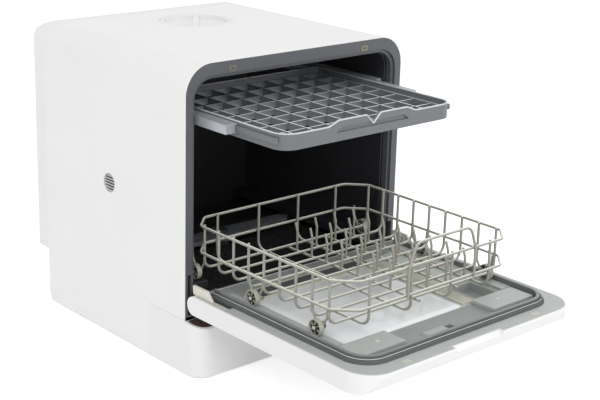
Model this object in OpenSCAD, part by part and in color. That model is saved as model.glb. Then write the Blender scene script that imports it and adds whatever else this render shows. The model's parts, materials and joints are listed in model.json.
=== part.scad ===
// Countertop dishwasher with a drop-down door, a wheeled wire rack and an upper tray.
// Millimetres. X runs to the right seen from the front, the front faces -Y, Z is up.
// The origin is on the worktop, centred, under the front frame. The door is drawn open.

/* [Cabinet] */
// Width of the cabinet
cabinet_w = 420; // [400:1:450]
// Height from the worktop to the top of the shell
cabinet_h = 456; // [450:1:480]
// Depth of the wrapped shell behind the front frame
shell_d = 366; // [366:1:400]
// Thickness of the steel shell
shell_t = 1.2; // [0.8:0.1:1.5]
// Corner radius of the front outline
corner_r = 45; // [38:1:50]
// Height of the rubber feet
foot_h = 2; // [1.5:0.5:4]
// Depth of the rear cover
cover_d = 46; // [44:1:60]
// Height of the rear cover's lower edge
cover_z = 75; // [66:1:90]
// Radius that rounds the back of the rear cover
cover_r = 24; // [12:1:26]
// Wall of the white mouldings
wall = 2.4; // [2:0.1:3]

/* [Plinth] */
// Height of the plinth at the sides
plinth_h = 84; // [82:1:85]
// How far the plinth stands in front of the frame
plinth_out = 31; // [30:1:36]
// Length of the plinth's side returns
plinth_return = 85; // [60:1:110]
// Radius of the plinth's front corners seen from above
plinth_r = 26; // [20:1:28]

/* [Front frame and tub] */
// Depth of the grey front frame
frame_d = 14; // [12:1:14]
// Width of the frame at the sides
frame_side = 17; // [17:0.5:17.5]
// Width of the frame at the top
frame_top = 24; // [22:1:28]
// Height of the frame's lower opening edge
frame_sill = 113; // [112:1:114]
// Wall of the wash tub
tub_t = 2.4; // [1.5:0.1:2.5]
// Height of the tub floor
tub_floor = 106; // [104:0.5:107]
// Gap between the tub and the inner edge of the front frame
tub_step = 4; // [3:0.5:5]
// Depth of the wash tub
tub_d = 337; // [337:1:340]

/* [Door] */
// Length of the door's inner face when it lies open
door_l = 353; // [340:1:353]
// Thickness of the door
door_t = 28; // [26:1:28]
// Height of the hinge axis above the worktop
hinge_z = 106; // [106:0.5:107]
// How far the hinge axis stands in front of the frame
hinge_out = 23; // [23:0.5:24]
// Diameter of the hinge pins
pin_d = 8; // [6:0.5:9]
// Radial running clearance of pins and axles
run_gap = 0.05; // [0.02:0.01:0.1]
// Gap between the shut door and the front frame
shut_gap = 2; // [2:0.5:3]
// Height of the rim around the door liner
rim_h = 10; // [8:1:11]
// Width of the finger recess in the door's end
recess_w = 92; // [60:1:120]

/* [Lower rack] */
// Width of the wire rack between its rails
rack_w = 336; // [326:1:336]
// Length of the wire rack between its rails
rack_l = 329; // [310:1:330]
// Diameter of the rack wire
wire_d = 4; // [3:0.5:4.5]
// Height of the top rail
rack_top_z = 214; // [200:1:220]
// Height of the middle rail
rack_mid_z = 174; // [168:1:180]
// Height of the wires under the rack
rack_low_z = 150; // [148:1:154]
// Number of cross wires
cross_count = 9; // [5:1:10]
// How far the front of the rack stands out of the cabinet
rack_out = 283; // [280:1:290]
// Diameter of the rack wheels
wheel_d = 24; // [20:1:25]
// Width of the rack wheels
wheel_w = 8; // [5:1:8]
// Diameter of the wheel axles
axle_d = 6; // [4:0.5:7]
// Distance between neighbouring wheels
wheel_pitch = 131; // [110:1:134]

/* [Upper tray] */
// Width of the tray
tray_w = 330; // [320:1:332]
// Length of the tray
tray_l = 300; // [270:1:304]
// Height of the tray's rim above the worktop
tray_z = 384; // [378:1:388]
// Height of the tray's rim
tray_h = 22; // [18:1:24]
// How far the front of the tray stands out of the cabinet
tray_out = 155; // [120:1:160]
// Number of openings across the tray
tray_cells = 9; // [6:1:12]

/* [Water] */
// Diameter of the fill cap
cap_d = 112; // [90:1:120]
// Distance of the fill cap behind the front frame
cap_y = 270; // [240:1:285]
// Reach of the spray arm from its hub
arm_r = 142; // [110:1:145]
// Outer diameter of the inlet spigot
inlet_d = 26; // [20:0.5:27]
// Outer diameter of the drain spigot
drain_d = 14; // [10:0.5:20]

/* [Hidden] */
$fn = 48;
eps = 0.01;
seat = 0.3;

white = [0.95, 0.95, 0.95];
frame_grey = [0.42, 0.44, 0.45];
liner_grey = [0.70, 0.72, 0.71];
tub_black = [0.09, 0.09, 0.10];
wire_grey = [0.76, 0.75, 0.70];

hw = cabinet_w / 2;
frame_hw = hw - shell_t - seat;
open_hw = frame_hw - frame_side + seat;
open_top = cabinet_h - frame_top;
tub_hw = open_hw - tub_step;
tub_top = open_top;
tub_y1 = frame_d + tub_d;
door_zi = hinge_z + hinge_out - shut_gap;
door_zo = door_zi - door_t;
nose_r = door_t / 2;
nose_y = -hinge_out + 3;
door_end = -(door_l + hinge_out - 3);
track_z = door_zi + 3;
wheel_z = track_z + seat + wheel_d / 2;
rack_hw = rack_w / 2;
rack_front = -rack_out;
rack_back = rack_front + rack_l;
wr = wire_d / 2;
front_wheel_y = rack_front + 50;
wheel_x = rack_hw + 1;
wheel_ys = [front_wheel_y, front_wheel_y + wheel_pitch, front_wheel_y + 2 * wheel_pitch];
rim_hw = open_hw - 8;
rim_end = -hinge_out - (open_top - 9 - hinge_z);
rim_back = -hinge_out - 11;
sill_bottom = plinth_h + 4;
arm_y = frame_d + tub_d / 2;
sump_x = -95;
sump_y = arm_y + 84;
bracket_x = open_hw - 4;
bracket_t = 5;
cheek_x = frame_hw - 10.5;
cheek_t = 5;
hinge_y = -hinge_out;
cap_x = 13;
vent_y = 188;
vent_z = 245;
vent_r = 14.5;
rear_foot_r = 14;

// ---- outlines ----
function arc_points(cx, cy, r, a0, a1, n = 10) =
  [for (i = [0:n]) let (a = a0 + (a1 - a0) * i / n) [cx + r * cos(a), cy + r * sin(a)]];

// Rectangle with its own radius at the top and at the bottom
function panel_points(x0, y0, x1, y1, rt, rb, n = 10) = concat(
  arc_points(x1 - rt, y1 - rt, rt, 0, 90, n), arc_points(x0 + rt, y1 - rt, rt, 90, 180, n),
  arc_points(x0 + rb, y0 + rb, rb, 180, 270, n), arc_points(x1 - rb, y0 + rb, rb, 270, 360, n));

module panel(x0, y0, x1, y1, rt, rb, n = 10) { polygon(panel_points(x0, y0, x1, y1, rt, rb, n)); }

// An outline drawn in X and Z, run from y0 to y1
module along_y(y0, y1) { translate([0, y1, 0]) rotate([90, 0, 0]) linear_extrude(y1 - y0) children(); }

// An outline drawn in Y and Z, run from x0 to x1
module along_x(x0, x1) { translate([x0, 0, 0]) rotate([90, 0, 90]) linear_extrude(x1 - x0) children(); }

module block(x0, x1, y0, y1, z0, z1) { translate([x0, y0, z0]) cube([x1 - x0, y1 - y0, z1 - z0]); }

module both_sides() {
  children();
  mirror([1, 0, 0]) children();
}

module rod_x(x0, x1, y, z, r) { translate([x0, y, z]) rotate([0, 90, 0]) cylinder(r = r, h = x1 - x0); }

module rod_y(x, y0, y1, z, r) { translate([x, y1, z]) rotate([90, 0, 0]) cylinder(r = r, h = y1 - y0); }

module rod_z(x, y, z0, z1, r) { translate([x, y, z0]) cylinder(r = r, h = z1 - z0); }

// Bend of wire in the XY plane round the origin, from angle a0, over the given angle
module bend(r, wr, a0, angle = 90) {
  rotate([0, 0, a0]) rotate_extrude(angle = angle) translate([r, 0]) circle(r = wr, $fn = 24);
}

// Cuts the lower back edge of the cabinet round
module rear_foot_cut() {
  along_x(-hw - 1, hw + 1) polygon(concat(
    [[shell_d + 9, foot_h - 9], [shell_d + 9, foot_h + rear_foot_r]],
    arc_points(shell_d - rear_foot_r, foot_h + rear_foot_r, rear_foot_r, 0, -90, 8),
    [[shell_d - rear_foot_r, foot_h - 9]]));
}

// ---- cabinet ----
module outer_shell() {
  color(white) difference() {
    along_y(0, shell_d) panel(-hw, foot_h, hw, cabinet_h, corner_r, 3);
    along_y(-1, shell_d + 1) panel(-hw + shell_t, foot_h - 9, hw - shell_t, cabinet_h - shell_t, corner_r - shell_t, 3);
    block(-hw - 1, hw + 1, -1, plinth_return + seat, foot_h - 1, plinth_h + seat);
    translate([-hw - 1, vent_y, vent_z]) rotate([0, 90, 0]) cylinder(r = vent_r + seat, h = 9);
    rod_z(cap_x, cap_y, cabinet_h - 9, cabinet_h + 1, cap_d / 2 + 4);
    rear_foot_cut();
  }
}

module rear_panel() {
  color(white) difference() {
    along_y(shell_d - shell_t, shell_d)
      panel(-frame_hw, foot_h + 3, frame_hw, cabinet_h - shell_t - seat, corner_r - shell_t - seat, 3);
    rod_y(inlet_x, shell_d - 9, shell_d + 9, spigot_z, inlet_d / 2 - 1);
    rod_y(drain_x, shell_d - 9, shell_d + 9, spigot_z, drain_d / 2 - 1);
    rod_y(cord_x, shell_d - 9, shell_d + 9, spigot_z, 9);
    block(cap_x - 22, cap_x + 22, shell_d - 9, shell_d + 9, port_floor - 3, port_floor + 8);
    rear_foot_cut();
  }
}

// Body of the rear cover with its back edges rounded, drawn in by d
module cover_body(d, y0) {
  y1 = shell_d + cover_d - d;
  r = cover_r - d;
  top = cabinet_h - d;
  low = cover_z + d;
  side = hw - d;
  intersection() {
    along_y(y0, y1) panel(-side, low, side, top, corner_r - d, 32 - d);
    along_x(-hw, hw) polygon(concat([[y0 - 1, top], [y0 - 1, low]],
      arc_points(y1 - r, low + r, r, 270, 360, 7), arc_points(y1 - r, top - r, r, 0, 90, 7)));
    linear_extrude(cabinet_h) polygon(concat([[side, y0 - 1]],
      arc_points(side - r, y1 - r, r, 0, 90, 7), arc_points(-side + r, y1 - r, r, 90, 180, 7),
      [[-side, y0 - 1]]));
  }
}

module rear_cover() {
  color(white) difference() {
    cover_body(0, shell_d);
    cover_body(wall, shell_d - 1);
    for (i = [-4:4])
      block(-52, 52, shell_d + cover_d - 9, shell_d + cover_d + 1, 330 + i * 9, 334 + i * 9);
  }
}

module cover_screws() {
  color([0.75, 0.75, 0.76])
    for (x = [-150, 150], z = [cover_z + 45, cabinet_h - 60])
      translate([x, shell_d + cover_d, z]) rotate([-90, 0, 0]) difference() {
        cylinder(r = 4, h = 1.6);
        block(-0.6, 0.6, -2.5, 2.5, 0.8, 3);
        block(-2.5, 2.5, -0.6, 0.6, 0.8, 3);
      }
}

// Side view of the plinth, drawn in by d
module plinth_side(d) {
  polygon(concat(
    [[plinth_return, foot_h - (d > 0 ? 9 : 0)], [plinth_return + (d > 0 ? 9 : 0), foot_h - (d > 0 ? 9 : 0)],
     [plinth_return + (d > 0 ? 9 : 0), plinth_h - d], [0, plinth_h - d]],
    arc_points(-plinth_out + 4, plinth_h - 10, 4 - d, 110, 180, 6),
    [[-plinth_out + d, foot_h - (d > 0 ? 9 : 0)]]));
}

module plinth_plan(d) {
  polygon(concat([[hw - d, plinth_return + 9], [-hw + d, plinth_return + 9]],
    arc_points(-hw + plinth_r, -plinth_out + plinth_r, plinth_r - d, 180, 270, 8),
    arc_points(hw - plinth_r, -plinth_out + plinth_r, plinth_r - d, 270, 360, 8)));
}

lip = 4;
mouth_y0 = -plinth_out + lip;
mouth_y1 = -3;
strip_z0 = plinth_h - 7;

module plinth() {
  color(white) difference() {
    intersection() {
      along_x(-hw, hw) plinth_side(0);
      translate([0, 0, foot_h]) linear_extrude(plinth_h) plinth_plan(0);
    }
    intersection() {
      along_x(-hw, hw) plinth_side(wall);
      translate([0, 0, -9]) linear_extrude(plinth_h + 9) plinth_plan(wall);
    }
    intersection() {
      block(-hw, hw, -plinth_out, mouth_y1, plinth_h - 14, plinth_h + 9);
      translate([0, 0, plinth_h - 20]) linear_extrude(40) plinth_plan(lip);
    }
    block(-hw + wall, hw - wall, mouth_y1 + wall, plinth_return + 9, 0, plinth_h + 9);
  }
}

// The smoked touch strip lies sloping in the plinth's mouth, under the door's hinge edge
module control_strip() {
  color([0.16, 0.12, 0.12]) intersection() {
    along_x(-hw, hw) polygon([
      [mouth_y0 + seat, strip_z0 - 4], [mouth_y0 + seat, strip_z0], [mouth_y1 - seat, strip_z0 + 8],
      [mouth_y1 - seat, strip_z0 + 2], [mouth_y0 + 9, strip_z0 - 4]]);
    linear_extrude(plinth_h + 9) plinth_plan(lip + seat);
  }
}

module control_board() {
  y = mouth_y0 + wall;
  color([0.10, 0.35, 0.20]) union() {
    block(-70, 70, y, y + 1.6, 22, strip_z0 - 8);
    for (x = [-62, 62], z = [28, strip_z0 - 14]) rod_y(x, -plinth_out + wall, y + eps, z, 3);
    for (x = [-48 : 24 : 48]) block(x - 5, x + 5, y + 1.5, y + 8, 34, 44);
  }
}

pan_t = 3;
pan_z = foot_h + pan_t;
module base_pan() {
  x = hw - wall - seat;
  color([0.80, 0.80, 0.80]) union() {
    difference() {
      block(-x, x, -plinth_out + plinth_r, shell_d - shell_t, foot_h, pan_z);
      for (ix = [-3:3]) block(ix * 40 - 12, ix * 40 + 12, 150, 154, 0, 9);
      rear_foot_cut();
    }
    block(-x + plinth_r, x - plinth_r, -plinth_out + wall + seat, -plinth_out + plinth_r + eps, foot_h, pan_z);
    both_sides() {
      // posts that carry the hinge brackets and the tub
      block(tub_hw - 32, tub_hw - 20, frame_d, frame_d + 24, pan_z - eps, tub_floor - tub_t);
      block(tub_hw - 32, tub_hw - 20, tub_y1 - 24, tub_y1, pan_z - eps, tub_floor - tub_t);
    }
  }
}

module feet() {
  color([0.15, 0.15, 0.15]) {
    block(-160, 160, -9, 11, 0, foot_h);
    block(-160, 160, shell_d - 40, shell_d - 20, 0, foot_h);
  }
}

module front_frame() {
  color(frame_grey) difference() {
    along_y(0, frame_d)
      panel(-frame_hw, sill_bottom, frame_hw, cabinet_h - shell_t - seat, corner_r - shell_t - seat, 4);
    along_y(-1, frame_d + 1) panel(-open_hw, frame_sill, open_hw, open_top, 30, 6);
    // step round the opening that the door's gasket closes on
    along_y(-1, 4) panel(-open_hw - 5, frame_sill - 4, open_hw + 5, open_top + 5, 34, 16);
    both_sides() {
      block(cheek_x - 1.5, cheek_x + cheek_t + 1.5, -1, frame_d + 1, sill_bottom + 3, hinge_z + 46);
      block(bracket_x - 0.5, bracket_x + bracket_t + 0.5, -1, frame_d + 1, hinge_z - 8, frame_sill + 9);
    }
  }
}

latch_x = 128;
latch_z = 443;
module latch_plates() {
  color([0.66, 0.63, 0.55]) both_sides() difference() {
    block(latch_x - 7, latch_x + 7, -0.6, 0, latch_z - 4.5, latch_z + 4.5);
    block(latch_x - 3, latch_x + 3, -1, 1, latch_z - 1, latch_z + 1);
  }
}

module wash_tub() {
  color(tub_black) difference() {
    along_y(frame_d, tub_y1 - tub_t)
      panel(-tub_hw - tub_t, tub_floor - tub_t, tub_hw + tub_t, tub_top + tub_t, 28 + tub_t, 1);
    along_y(frame_d - 1, tub_y1) panel(-tub_hw, tub_floor - tub_t - 5, tub_hw, tub_top, 28, 1);
  }
}

module tub_back() {
  color(tub_black) along_y(tub_y1 - tub_t, tub_y1)
    panel(-tub_hw - tub_t, tub_floor - tub_t, tub_hw + tub_t, tub_top + tub_t, 28 + tub_t, 1);
}

module tub_bottom() {
  color(tub_black) difference() {
    block(-tub_hw, tub_hw, frame_d, tub_y1 - tub_t, tub_floor - tub_t, tub_floor);
    rod_z(sump_x, sump_y, tub_floor - 9, tub_floor + 9, sump_r);
    rod_z(0, arm_y, tub_floor - 9, tub_floor + 9, post_r + 0.2);
  }
}

// Ledges inside the tub at the height of the tracks on the door
module wheel_tracks() {
  color(tub_black) both_sides()
    block(tub_hw - 32, tub_hw, frame_d + 1, tub_y1 - tub_t, tub_floor + 12, track_z);
}

sump_r = 40;
cup_r = 34;
module sump() {
  color([0.20, 0.20, 0.22]) difference() {
    union() {
      rod_z(sump_x, sump_y, 60, tub_floor - tub_t, sump_r + 6);
      rod_z(sump_x, sump_y, 60, tub_floor, sump_r - seat);
    }
    rod_z(sump_x, sump_y, 63, tub_floor + 1, sump_r - 3);
  }
}

module filter_cup() {
  color([0.35, 0.36, 0.38]) difference() {
    union() {
      rod_z(sump_x, sump_y, 66, tub_floor, cup_r);
      rod_z(sump_x, sump_y, tub_floor + 2 + seat, tub_floor + 4.5, cup_r + 3);
      rod_z(sump_x, sump_y, tub_floor - eps, tub_floor + 4, cup_r);
    }
    rod_z(sump_x, sump_y, 68, tub_floor + 9, cup_r - 2);
    for (a = [0:30:330]) translate([sump_x, sump_y, 0]) rotate([0, 0, a])
      block(cup_r - 4, cup_r + 1, -3, 3, 74, tub_floor - 12);
  }
  // carrying bar across the cup
  color([0.35, 0.36, 0.38]) block(sump_x - cup_r + 1, sump_x + cup_r - 1, sump_y - 3, sump_y + 3, 100, tub_floor + 4);
}

module filter_plate() {
  hole = 8;
  color([0.16, 0.16, 0.17]) difference() {
    block(-tub_hw + 33, tub_hw - 33, frame_d + 14, tub_y1 - tub_t - 10, tub_floor, tub_floor + 2);
    rod_z(sump_x, sump_y, 0, 200, cup_r + 0.6);
    rod_z(0, arm_y, 0, 200, post_r + 9);
    for (ix = [-7:5], iy = [-7:1])
      if (norm([ix * 17, iy * 17]) > 34 && norm([ix * 17 - sump_x, arm_y + iy * 17 - sump_y]) > 50)
        rod_z(ix * 17, arm_y + iy * 17, 0, 200, hole / 2);
  }
}

post_r = 8;
arm_z = tub_floor + 11;
module spray_post() {
  color([0.30, 0.30, 0.32]) difference() {
    union() {
      rod_z(0, arm_y, tub_floor - 14, arm_z + 11, post_r);
      rod_z(0, arm_y, tub_floor, arm_z - seat, post_r + 6);
      rod_z(0, arm_y, arm_z + 9 + seat, arm_z + 13, post_r + 4);
    }
    rod_z(0, arm_y, tub_floor - 15, arm_z + 5, post_r - 3);
  }
}

module spray_arm() {
  color([0.48, 0.50, 0.52]) difference() {
    union() {
      rod_z(0, arm_y, arm_z, arm_z + 9, 24);
      for (side = [0, 180]) translate([0, arm_y, arm_z + 1]) rotate([0, 0, side]) linear_extrude(7)
        polygon(concat([[0, -20], [40, -17]], arc_points(arm_r - 11, 4, 11, -80, 100, 8), [[40, 19], [0, 20]]));
    }
    rod_z(0, arm_y, arm_z - 1, arm_z + 19, post_r + run_gap);
    for (side = [0, 180], i = [0:3]) translate([0, arm_y, 0]) rotate([0, 0, side])
      translate([50 + i * 24, 2 - i, arm_z + 4]) rotate([0, 0, 20]) block(-5, 5, -1.2, 1.2, 0, 9);
  }
}

// Round side vent: a ring with slanted slats
module vent_grille() {
  color([0.55, 0.56, 0.57]) translate([-hw, vent_y, vent_z]) rotate([0, 90, 0]) {
    difference() {
      cylinder(r = vent_r, h = 5);
      translate([0, 0, -1]) cylinder(r = vent_r - 1.6, h = 9);
    }
    intersection() {
      cylinder(r = vent_r - 1, h = 5);
      for (i = [0:5]) block((i - 2.5) * 4.4 - 1.15, (i - 2.5) * 4.4 + 1.15, -vent_r, vent_r, 0.6, 4);
    }
  }
}

module drying_fan() {
  x0 = -hw + 5 + seat;
  x1 = -tub_hw - tub_t;
  color([0.12, 0.12, 0.13]) translate([x0, vent_y, vent_z]) rotate([0, 90, 0]) {
    difference() {
      translate([-20, -20, 0]) cube([40, 40, x1 - x0]);
      translate([0, 0, -1]) cylinder(r = 18, h = x1 - x0 - 1);
    }
    cylinder(r = 7, h = x1 - x0 - 1);
    for (a = [0:60:300]) rotate([0, 0, a]) block(6, 17, -1, 1, 2, x1 - x0 - 1.5 + eps);
  }
}

port_floor = cabinet_h - 16;
port_r = cap_d / 2 + 4 - seat;
module fill_port() {
  color([0.86, 0.86, 0.86]) difference() {
    union() {
      rod_z(cap_x, cap_y, port_floor - 3, cabinet_h, port_r);
      rod_z(cap_x, cap_y, port_floor - 3, cabinet_h - shell_t, port_r + 5);
      block(cap_x - 22 + seat, cap_x + 22 - seat, cap_y, shell_d + 2, port_floor - 3 + seat, port_floor + 8 - seat);
    }
    rod_z(cap_x, cap_y, cabinet_h - 8, cabinet_h + 1, cap_d / 2 + seat);
    rod_z(cap_x, cap_y, port_floor, cabinet_h + 1, cap_d / 2 - 9);
    block(cap_x - 18, cap_x + 18, cap_y, shell_d + 9, port_floor, port_floor + 5);
  }
}

module fill_cap() {
  color(white) translate([cap_x, cap_y, 0]) {
    difference() {
      union() {
        rod_z(0, 0, cabinet_h - 8, cabinet_h - 5, cap_d / 2);
        rod_z(0, 0, cabinet_h - 14, cabinet_h - 7, cap_d / 2 - 9.5);
      }
      rod_z(0, 0, cabinet_h - 15, cabinet_h - 8, cap_d / 2 - 12);
    }
    difference() {
      rod_z(0, 0, cabinet_h - 6, cabinet_h - 0.5, cap_d / 2);
      rod_z(0, 0, cabinet_h - 5, cabinet_h + 1, cap_d / 2 - 5);
    }
    // grip ridge
    rotate([0, 0, 52]) block(-cap_d / 2 + 3, cap_d / 2 - 3, -5, 5, cabinet_h - 6, cabinet_h - 0.5);
  }
}

module water_tank() {
  y1 = shell_d + cover_d - wall - 6;
  color([0.75, 0.80, 0.84]) difference() {
    union() {
      along_y(shell_d, y1) panel(-hw + 26, cover_z + 28, hw - 26, port_floor - 4, 24, 24);
      block(cap_x - 26, cap_x + 26, shell_d + 2, shell_d + 18, port_floor - 8, port_floor + 6);
    }
    along_y(shell_d + 2, y1 - 2) panel(-hw + 28, cover_z + 30, hw - 28, port_floor - 6, 22, 22);
    block(cap_x - 18, cap_x + 18, shell_d + 4, shell_d + 16, port_floor - 9, port_floor + 4);
    block(cap_x - 18, cap_x + 18, shell_d, shell_d + 5, port_floor, port_floor + 4);
  }
}

pump_y = arm_y;
pump_z = pan_z + 40;
module circulation_pump() {
  color([0.55, 0.56, 0.58]) union() {
    rod_x(-6, 18, pump_y, pump_z, 34);
    rod_x(17, 92, pump_y, pump_z, 28);
    rod_x(90, 98, pump_y, pump_z, 12);
    for (x = [2, 70]) block(x, x + 10, pump_y - 24, pump_y + 24, pan_z, pump_z - 14);
  }
}

module drain_pump() {
  x = sump_x - 62;
  color([0.50, 0.50, 0.52]) union() {
    rod_z(x, sump_y, pan_z, pan_z + 40, 18);
    rod_z(x, sump_y, pan_z + 39, pan_z + 52, 12);
    rod_z(x, sump_y, pan_z + 51, 76, 6);
    rod_x(x, sump_x - sump_r - 6 - seat, sump_y, 70, 6);
  }
}

module water_heater() {
  x = 130;
  color([0.70, 0.70, 0.72]) union() {
    rod_y(x, 120, 250, pan_z + 30, 20);
    rod_y(x, 114, 256, pan_z + 30, 10);
    for (y = [140, 222]) block(x - 12, x + 12, y, y + 8, pan_z, pan_z + 14);
  }
}

// Pipe from the pump up to the spray post
module supply_pipe() {
  color([0.25, 0.25, 0.26]) union() {
    rod_z(0, arm_y, pump_z + 40, tub_floor - 14, post_r);
    rod_z(0, arm_y, pump_z + 34 + seat, pump_z + 41, post_r + 4);
  }
}

inlet_x = -40;
drain_x = -100;
cord_x = 120;
spigot_z = 42;
spigot_l = 22;
module spigot(x, d, bore) {
  difference() {
    union() {
      rod_y(x, shell_d, shell_d + 3, spigot_z, d / 2 + 6);
      rod_y(x, shell_d, shell_d + spigot_l, spigot_z, d / 2);
    }
    rod_y(x, shell_d - 1, shell_d + spigot_l + 1, spigot_z, bore / 2);
  }
}

module inlet_spigot() { color([0.85, 0.85, 0.86]) spigot(inlet_x, inlet_d, inlet_d - 8); }

module drain_spigot() { color([0.25, 0.25, 0.26]) spigot(drain_x, drain_d, drain_d - 5); }

module cord_inlet() {
  color([0.12, 0.12, 0.12]) difference() {
    union() {
      rod_y(cord_x, shell_d, shell_d + 5, spigot_z, 13);
      rod_y(cord_x, shell_d - 6, shell_d + 1, spigot_z, 9 - seat);
    }
    rod_y(cord_x, shell_d - 9, shell_d + 9, spigot_z, 4);
  }
}

// ---- door ----
// Brackets reach forward from behind the frame to the hinge pins
module hinge_brackets() {
  color([0.70, 0.70, 0.72]) both_sides() difference() {
    union() {
      rod_x(bracket_x, bracket_x + bracket_t, hinge_y, hinge_z, 7);
      block(bracket_x, bracket_x + bracket_t, hinge_y, frame_d + 8, hinge_z - 7, hinge_z + 7);
      block(bracket_x - 10, bracket_x + bracket_t, frame_d, frame_d + 3, pan_z, tub_floor - tub_t - seat);
      block(bracket_x, bracket_x + bracket_t, frame_d, frame_d + 20, pan_z, hinge_z - 5);
    }
    rod_x(bracket_x - 11, bracket_x + bracket_t + 1, hinge_y, hinge_z, pin_d / 2);
    block(bracket_x - 11, bracket_x + bracket_t + 1, frame_d, frame_d + 9, tub_floor - tub_t - seat, hinge_z + 19);
  }
}

module hinge_pins() {
  color([0.60, 0.60, 0.62]) both_sides()
    rod_x(bracket_x - 6, bracket_x + bracket_t + 6, hinge_y, hinge_z, pin_d / 2);
}

// Side view of the open door, drawn in by d
module door_side(d) {
  polygon(concat(
    arc_points(nose_y, door_zi - nose_r, nose_r - d, -90, 90, 12),
    [[door_end + 3, door_zi - d]],
    arc_points(door_end + 2 + d, door_zi - 2 - d, 2, 90, 180, 4),
    arc_points(door_end + 20 + d, door_zo + 7 + d, 7, 200, 270, 6)));
}

module door_plan(d) {
  polygon(concat([[hw - d, nose_y + nose_r + 1], [-hw + d, nose_y + nose_r + 1]],
    arc_points(-hw + corner_r, door_end + corner_r, corner_r - d, 180, 270, 12),
    arc_points(hw - corner_r, door_end + corner_r, corner_r - d, 270, 360, 12)));
}

// Round scoop in the door's end for the fingers, grown by g
module recess_scoop(g) { rod_x(-recess_w / 2 - g, recess_w / 2 + g, door_end - 6, door_zi + 3, 14 + g); }

lug_t = 4;
module door_shell() {
  color(white) difference() {
    union() {
      difference() {
        intersection() {
          along_x(-hw, hw) door_side(0);
          translate([0, 0, door_zo - 1]) linear_extrude(door_t + 2) door_plan(0);
        }
        intersection() {
          along_x(-hw, hw) door_side(wall);
          translate([0, 0, door_zo - 1]) linear_extrude(door_t + 2) door_plan(wall);
        }
        // mouth that the liner closes
        translate([0, 0, door_zi - 4]) linear_extrude(9) difference() {
          door_plan(wall);
          translate([-hw, nose_y]) square([2 * hw, 99]);
        }
      }
      intersection() {
        along_x(-recess_w / 2 - wall, recess_w / 2 + wall) door_side(0);
        recess_scoop(wall);
      }
      both_sides() for (x = [bracket_x - lug_t - 1, bracket_x + bracket_t + 1])
        block(x, x + lug_t, nose_y - 26, nose_y + 6, door_zo + 1, door_zi - 4 - seat);
    }
    both_sides() {
      block(bracket_x - 1, bracket_x + bracket_t + 1, nose_y - 26, nose_y + 30, door_zo - 1, door_zi + 9);
      rod_x(bracket_x - 9, bracket_x + bracket_t + 9, hinge_y, hinge_z, pin_d / 2 + run_gap);
    }
    recess_scoop(0);
  }
}

block_x = 88;
block_y = rim_end + 62;
cup_x0 = 106;
cup_x1 = 152;
cup_y0 = block_y + 4;
cup_y1 = cup_y0 + 56;

// Grey inner moulding of the door: plate, rim, wheel tracks, corner blocks and a sunken pan
module door_liner() {
  y_back = nose_y - 27;
  color(liner_grey) difference() {
    translate([0, 0, door_zi - 4]) linear_extrude(4) intersection() {
      door_plan(wall + seat);
      translate([-hw, door_end]) square([2 * hw, nose_y - door_end]);
    }
    // sunken pan between the corner blocks
    translate([0, 0, door_zi - 2.5]) linear_extrude(9) difference() {
      panel(-wheel_x + 14, rim_end + 22, wheel_x - 14, y_back - 12, 10, 6);
      both_sides() translate([block_x - 1, rim_end]) square([99, block_y - rim_end + 1]);
    }
    // finger slot in the ledge and the mouth of the detergent cup
    block(-50, 12, rim_end + 16, rim_end + 34, door_zi - 3.4, door_zi + 9);
    block(cup_x0, cup_x1, cup_y0, cup_y1, door_zi - 9, door_zi + 9);
    recess_scoop(wall + seat);
    both_sides() block(bracket_x - lug_t - 1.5, bracket_x + bracket_t + lug_t + 1.5, y_back, 0, 0, door_zi + 9);
  }
}

// splash rim round three sides of the liner
module door_rim() {
  color(liner_grey) difference() {
    translate([0, 0, door_zi]) linear_extrude(rim_h) difference() {
      panel(-rim_hw, rim_end, rim_hw, rim_back + 2, 1, 34);
      panel(-rim_hw + 5, rim_end + 5, rim_hw - 5, rim_back + 9, 1, 29);
    }
    both_sides() block(bracket_x - lug_t - 1.5, hw, nose_y - 27, 0, 0, door_zi + rim_h + 1);
  }
}

// wheel tracks on the door, and the raised blocks they end at
module door_tracks() {
  color(liner_grey) both_sides() {
    block(wheel_x - 9, rim_hw - 5.5, block_y + 6, nose_y - 27, door_zi, track_z);
    block(block_x, rim_hw - 12, rim_end + 20, block_y, door_zi, door_zi + 5);
  }
}

module door_gasket() {
  color([0.27, 0.29, 0.30]) union() {
    translate([0, 0, door_zi]) linear_extrude(rim_h - 3) difference() {
      panel(-rim_hw - 3.6, rim_end - 3.6, rim_hw + 3.6, rim_back + 2, 1, 37.6);
      panel(-rim_hw - seat, rim_end - seat, rim_hw + seat, rim_back + 9, 1, 34 + seat);
    }
    translate([0, 0, door_zi]) linear_extrude(1.8) difference() {
      panel(-rim_hw - 7, rim_end - 7, rim_hw + 7, rim_back + 2, 1, 41);
      panel(-rim_hw - seat, rim_end - seat, rim_hw + seat, rim_back + 9, 1, 34 + seat);
    }
  }
}

window_x0 = -wheel_x + 20;
window_x1 = 72;
module door_window() {
  y0 = block_y + 3;
  y1 = nose_y - 62;
  color([0.90, 0.91, 0.90]) union() {
    translate([0, 0, door_zi - 2.5]) linear_extrude(1.5) panel(window_x0, y0, window_x1, y1, 14, 8);
    translate([0, 0, door_zi - 1.1]) linear_extrude(1.5) panel(window_x0 + 3, y0 + 3, window_x1 - 3, y1 - 3, 11, 6);
  }
}

// Sunken cup with a lip, set into the liner
module detergent_cup() {
  z0 = door_zi - 16;
  color([0.35, 0.36, 0.37]) difference() {
    union() {
      block(cup_x0 + seat, cup_x1 - seat, cup_y0 + seat, cup_y1 - seat, z0, door_zi - 2.5);
      block(cup_x0 - 3, cup_x1 + 2.5, cup_y0 - 3, cup_y1 + 3, door_zi - 2.5, door_zi - 1);
    }
    block(cup_x0 + 2, cup_x1 - 2, cup_y0 + 2, cup_y1 - 2, z0 + 1.6, door_zi + 1);
  }
}

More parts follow.
